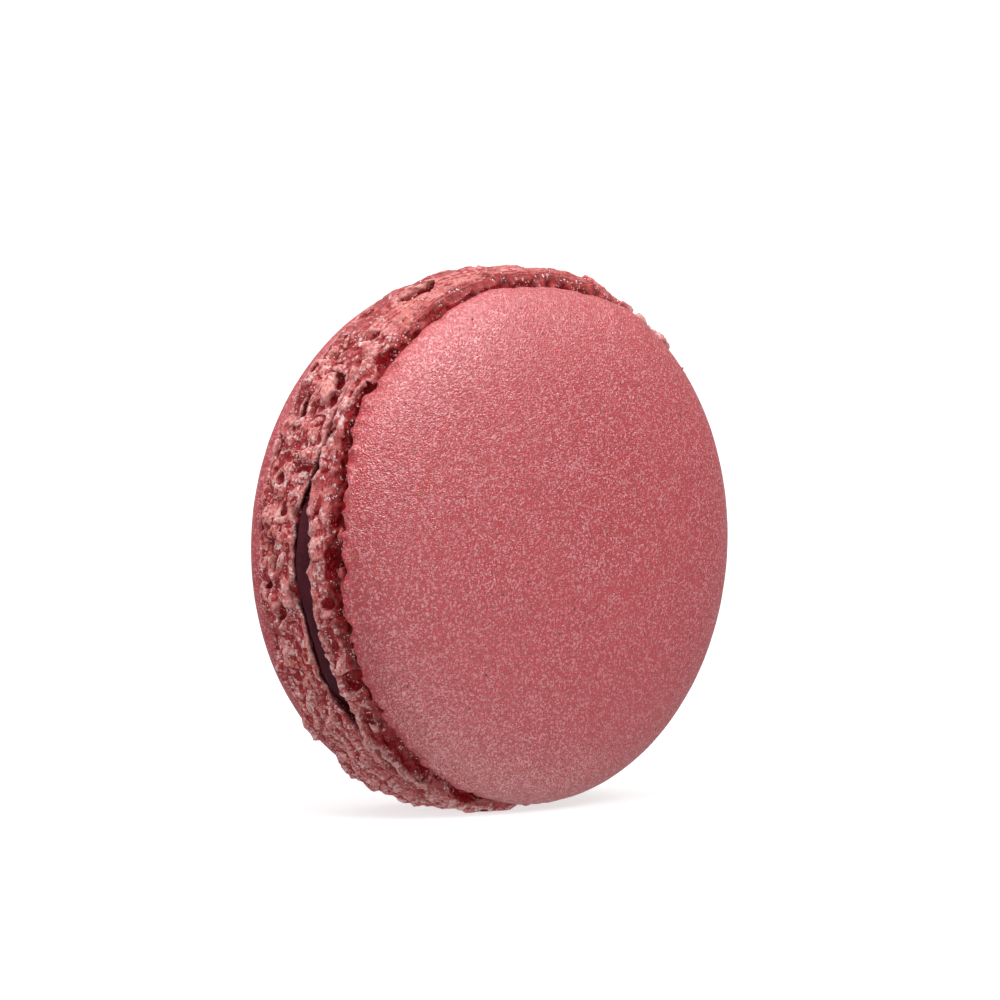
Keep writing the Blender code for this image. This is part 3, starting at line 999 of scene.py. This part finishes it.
def floor_material():
    """A plain pale surface that is bright enough to read as white."""
    m = Nodes("pale_floor")
    haze = m.grain(400.0, 1.0)
    colour = m.mix(m.steps(haze, 0.3, 0.7), FLOOR_DARK, FLOOR_LIGHT)
    m.link(colour, m.surface.inputs["Base Color"])
    far = m.add("ShaderNodeVectorMath", operation="LENGTH")
    m.link(m.place(), far.inputs[0])
    glow = m.steps(far.outputs["Value"], 0.1, 0.6, FLOOR_GLOW, BACKDROP_GLOW)
    m.link(glow, m.surface.inputs["Emission Strength"])
    m.surface.inputs["Roughness"].default_value = 0.9
    m.surface.inputs["Emission Color"].default_value = (1.0, 1.0, 1.0, 1.0)
    return m.material


def build_stage():
    """A round floor that curves up into a wall all round. It throws no light on the object."""
    profile = [(0.0, 0.0), (0.3, 0.0), (STAGE_RADIUS, 0.0)]
    for a in np.linspace(0.1, math.pi / 2, 12):
        profile.append((STAGE_RADIUS + STAGE_CURVE * math.sin(a), STAGE_CURVE - STAGE_CURVE * math.cos(a)))
    profile += [(1.7, 1.6), (STAGE_RADIUS, 2.3), (0.0, 2.6)]
    sides = STAGE_SIDES
    points = []
    faces = []
    for i in range(sides):
        turn = 2 * math.pi * i / sides
        points += [(r * math.cos(turn), r * math.sin(turn), z) for r, z in profile]
    n = len(profile)
    for i in range(sides):
        a = i * n
        b = (i + 1) % sides * n
        faces += [(a + j, b + j, b + j + 1, a + j + 1) for j in range(n - 1)]
    mesh = bpy.data.meshes.new("floor")
    mesh.from_pydata(points, [], faces)
    bm = bmesh.new()
    bm.from_mesh(mesh)
    bmesh.ops.remove_doubles(bm, verts=bm.verts, dist=0.0001)
    bmesh.ops.recalc_face_normals(bm, faces=bm.faces)
    bmesh.ops.reverse_faces(bm, faces=bm.faces)
    bm.to_mesh(mesh)
    bm.free()
    mesh.shade_smooth()
    made = add_object("floor", mesh)
    made.visible_diffuse = False
    made.visible_glossy = False
    made.visible_shadow = False
    mesh.materials.append(floor_material())


def camera_axes():
    """The camera's backward, right and up directions."""
    a = math.radians(CAMERA_AZIMUTH)
    e = math.radians(CAMERA_ELEVATION)
    back = Vector((math.sin(a) * math.cos(e), -math.cos(a) * math.cos(e), math.sin(e)))
    right = Vector((math.cos(a), math.sin(a), 0.0))
    return back, right, back.cross(right)


def build_camera():
    """The photograph's view: the axis lies a little below the middle of the frame."""
    back, right, up = camera_axes()
    centre = Vector((AXIS_X, 0, FLOOR_DEPTH))
    focal = CAMERA_LENS / 36 * FRAME_PIXELS
    scale = CAMERA_DISTANCE / focal
    half = FRAME_PIXELS / 2
    aim = centre + up * (AXIS_PIXEL[1] - half) * scale + right * (half - AXIS_PIXEL[0]) * scale
    place = centre + back * CAMERA_DISTANCE
    data = bpy.data.cameras.new("camera")
    data.lens = CAMERA_LENS
    data.sensor_width = 36
    data.clip_start = 0.01
    made = add_object("camera", data)
    made.location = place * MM
    made.rotation_euler = (aim - place).to_track_quat("-Z", "Y").to_euler()
    bpy.context.scene.camera = made


def build_light(name, elevation, azimuth, power):
    """A square softbox that faces the object. azimuth is 0 at the camera and 90 at its right."""
    back, right, _ = camera_axes()
    level = Vector((back.x, back.y, 0)).normalized()
    e = math.radians(elevation)
    a = math.radians(azimuth)
    target = Vector((0, 0, FLOOR_DEPTH * MM))
    along = (level * math.cos(a) + right * math.sin(a)) * math.cos(e) + Vector((0, 0, math.sin(e)))
    data = bpy.data.lights.new(name, "AREA")
    data.shape = "SQUARE"
    data.size = PANEL_SIZES.get(name, SOFTBOX_SIZE)
    data.energy = power
    made = add_object(name, data)
    made.location = target + along * SOFTBOX_DISTANCE
    made.rotation_euler = (-along).to_track_quat("-Z", "Y").to_euler()
    made.visible_glossy = name not in NO_GLOSS
    made.visible_diffuse = name not in PANEL_SIZES


def build_lights():
    """A bright studio: soft light from all round, and softboxes above, beside and below."""
    world = bpy.data.worlds.new("studio")
    world.use_nodes = True
    world.node_tree.nodes["Background"].inputs["Color"].default_value = (1, 1, 1, 1)
    world.node_tree.nodes["Background"].inputs["Strength"].default_value = WORLD_LIGHT
    bpy.context.scene.world = world
    for name, elevation, azimuth, power in SOFTBOXES:
        build_light(name, elevation, azimuth, power)
    bpy.context.scene.view_settings.view_transform = "Standard"
    bpy.context.scene.view_settings.look = "None"


# Hollows of the front foot: angle, height, half-lengths round, across and outwards, and lean
FRONT_MARKS = (
    (117, 0.4, 0.8, 0.35, 0.7, -10),
    (127, 0.6, 1, 0.4, 0.8, 15),
    (136.7, 2.1, 1.2, 0.5, 0.9, 0),
    (139.5, 0.6, 0.7, 0.35, 0.7, 20),
    (147.6, 2.1, 1.9, 0.9, 1.5, 0),
    (155, 0.8, 0.6, 0.35, 0.6, 10),
    (162.3, 2.6, 1.6, 0.45, 1.2, 0),
    (174.3, 2.6, 1.3, 0.5, 1.2, 0),
    (184, 2.3, 1.6, 0.75, 1.2, 0),
    (191.5, 1.9, 0.45, 0.4, 0.6, 0),
    (194.3, 2.6, 0.8, 0.4, 1, 0),
    (209.1, 2, 1, 0.8, 1.1, 10),
    (219.4, 1.4, 1.1, 0.6, 0.45, 10),
    (226.5, 1.8, 1.7, 1.1, 1.6, 4),
    (235.3, 1.8, 1.75, 1.1, 1.5, -4),
    (243, 2.5, 1.6, 0.6, 1.3, 6),
    (251, 1.9, 1.5, 0.5, 1, 8),
)

# Lumps of the front foot: angle, height, how far its middle lies outside the surface, and half-width
FRONT_CRUMBS = (
    (26, 2.1, 0, 0.4),
    (33, 2.2, 0.12, 0.5),
    (38.5, 2.4, 0.3, 0.5),
    (42, 2.3, 0.3, 0.4),
    (47.5, 2.4, 0.3, 0.7),
    (51.5, 2.4, 0.15, 0.5),
    (55.5, 2.4, 0.15, 0.5),
    (60, 2.4, 0.1, 0.45),
    (186, 3, -0.3, 0.35),
    (172, 3, -0.2, 0.3),
)

# Lumps of the back foot
BACK_CRUMBS = (
    (118.5, 2.4, 0, 0.45),
    (97, 2.2, -0.15, 0.4),
)

# Hollows of the back foot
BACK_MARKS = (
    (113.3, 1.75, 2.2, 0.95, 2, 4),
    (123.2, 4.4, 0.8, 0.5, 0.8, 40),
    (130.5, 1, 0.9, 0.4, 0.8, 25),
    (227.5, 5.5, 0.7, 0.4, 0.7, 0),
    (131.3, 3.9, 0.35, 0.25, 0.5, 0),
    (135.8, 3.4, 0.5, 0.3, 0.5, 60),
    (141.6, 4.6, 0.9, 0.18, 0.6, 15),
    (142.3, 1.6, 0.9, 0.55, 0.9, -20),
    (147.6, 1.2, 0.7, 0.45, 0.7, -10),
    (152.3, 3.9, 2, 0.7, 1.3, 10),
    (165.8, 3.4, 0.5, 0.35, 0.5, 0),
    (173.1, 1.5, 0.6, 0.45, 0.6, 0),
    (183.7, 3.5, 0.8, 0.25, 0.6, 20),
    (188.1, 4.5, 0.6, 0.4, 0.6, 60),
    (189.4, 1.6, 0.9, 0.6, 0.8, 0),
    (193.6, 3.3, 1.4, 0.45, 0.9, 30),
)

# How far the feet's inner edges and tops stray round the axis, in millimetres away from the gap
FRONT_EDGE = ((147, 0), (154, 0.25), (160, 0.1), (168, -0.25), (176, -0.35), (200, -0.35), (225, 0))
BACK_EDGE = ((147, 0), (154, 0.25), (159, 0), (165, -0.38), (176, -0.5), (189, -0.15), (196, -0.7))
BACK_EDGE += ((207, -0.6), (216, -0.4), (235, 0))
FRONT_TOP = ((140, 0), (157, -0.55), (164, -0.2), (172, 0.15), (182, 0.05), (190, -0.1), (197, 0.05))
FRONT_TOP += ((240, 0),)

# How ragged the caps' rims are round the axis
FRONT_RAGGED = ((20, 0.5), (80, 0.45), (125, 0.6), (160, 1.3), (235, 1.2), (270, 0.4), (340, 0.4))
BACK_RAGGED = ((0, 0.6), (120, 0.5), (200, 0.6), (300, 0.6))

# How far the rims stray from their planes, in millimetres away from the foot
FRONT_RIM = ((40, 0), (100, 0.2), (132, 0.1), (141, -0.2), (147, -0.45), (154, -0.45), (160, 0.1))
FRONT_RIM += ((166, 0.55), (174, 0.95), (183, 0.7), (192, 0.5), (215, 0.45), (240, 0.35), (265, 0.1))

# What doesn't stray
LEVEL = ((0, 0), (180, 0))

# The rims' radii round the axis, as shares of the round ones
ROUND = ((0, 1), (180, 1))
FRONT_ROUND = ((50, 1), (62, 1.003), (69, 0.988), (77, 0.971), (90, 0.968), (97, 0.97), (104, 0.984))
FRONT_ROUND += ((119, 0.983), (135, 0.994), (152, 1))


def dress(piece, node, material):
    """Gives a piece its finish and its place in the part."""
    piece.data.materials.clear()
    piece.data.materials.append(material)
    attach(piece, "root")
    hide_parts(node)


def main():
    rng = np.random.default_rng(SEED)
    sizes = (FRONT_RIM_RADIUS, FRONT_CREVICE, 0.0, FRONT_PARTING, FRONT_TOP_FALL)
    front = Shell("front", -1, *sizes, FRONT_REACH, FRONT_DROP, FRONT_ROUND)
    sizes = (BACK_RIM_RADIUS, BACK_CREVICE, BACK_LEAN, BACK_PARTING, BACK_TOP_FALL)
    back = Shell("back", 1, *sizes, BACK_REACH, BACK_DROP, ROUND)
    cap_look = cap_material()
    foot_look = foot_material()
    front_foot = build_foot(front, FRONT_CELL, rng, FRONT_MARKS, FRONT_CRUMBS, FRONT_EDGE, FRONT_TOP)
    back_foot = build_foot(back, BACK_CELL, rng, BACK_MARKS, BACK_CRUMBS, BACK_EDGE, LEVEL)
    dress(front_foot, "front_shell", foot_look)
    dress(back_foot, "back_shell", foot_look)
    dress(build_cap(front, FRONT_RAGGED, FRONT_RIM), "front_shell", cap_look)
    dress(build_cap(back, BACK_RAGGED, LEVEL), "back_shell", cap_look)
    dress(build_filling(), "filling", filling_material())
    build_stage()
    build_camera()
    build_lights()


main()
